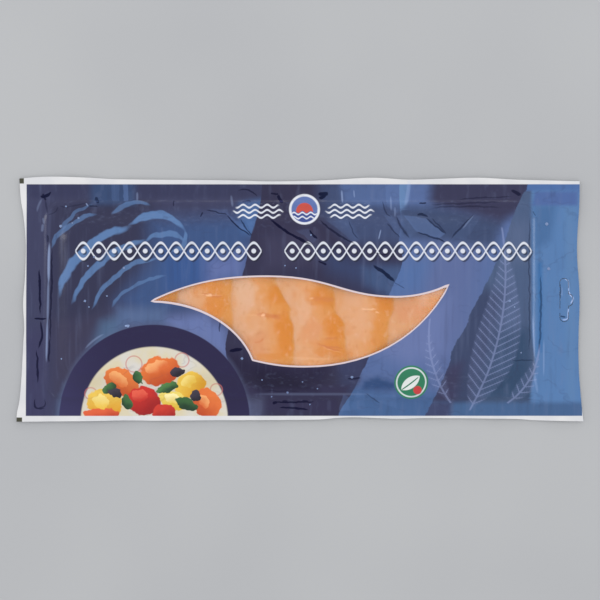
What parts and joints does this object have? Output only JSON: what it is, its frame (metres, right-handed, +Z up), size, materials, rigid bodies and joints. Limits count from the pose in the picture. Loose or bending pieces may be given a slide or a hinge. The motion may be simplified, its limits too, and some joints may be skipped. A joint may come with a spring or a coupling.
{
  "type": "pack of smoked salmon",
  "caption": "Flat vacuum pack lying on its back: shingled smoked salmon slices on a board between two sealed films, with a leaf-shaped clear window and a hang slot.",
  "frame": {"origin": "centre of the pack's outline, on the surface that it lies on", "axes": "+X along the pack towards the hang slot, +Y towards the upper edge of the print, +Z up through the printed face"},
  "size_m": [0.419, 0.1812, 0.0081],
  "materials": {
    "back_film": "white sealed film, satin to glossy",
    "board": "coated grey board",
    "salmon": "moist translucent fish, peach with orange edges",
    "front_film": "glossy film printed in blues with a white edge",
    "window_film": "clear glossy film"
  },
  "bodies": {
    "root": {"back_film": "back_film", "board": "board", "salmon_slice_1": "salmon", "salmon_slice_2": "salmon", "salmon_slice_3": "salmon", "salmon_slice_4": "salmon", "salmon_slice_5": "salmon", "salmon_slice_6": "salmon", "salmon_slice_7": "salmon", "salmon_slice_8": "salmon", "front_film": "front_film", "window_film": "window_film"}
  },
  "joints": []
}
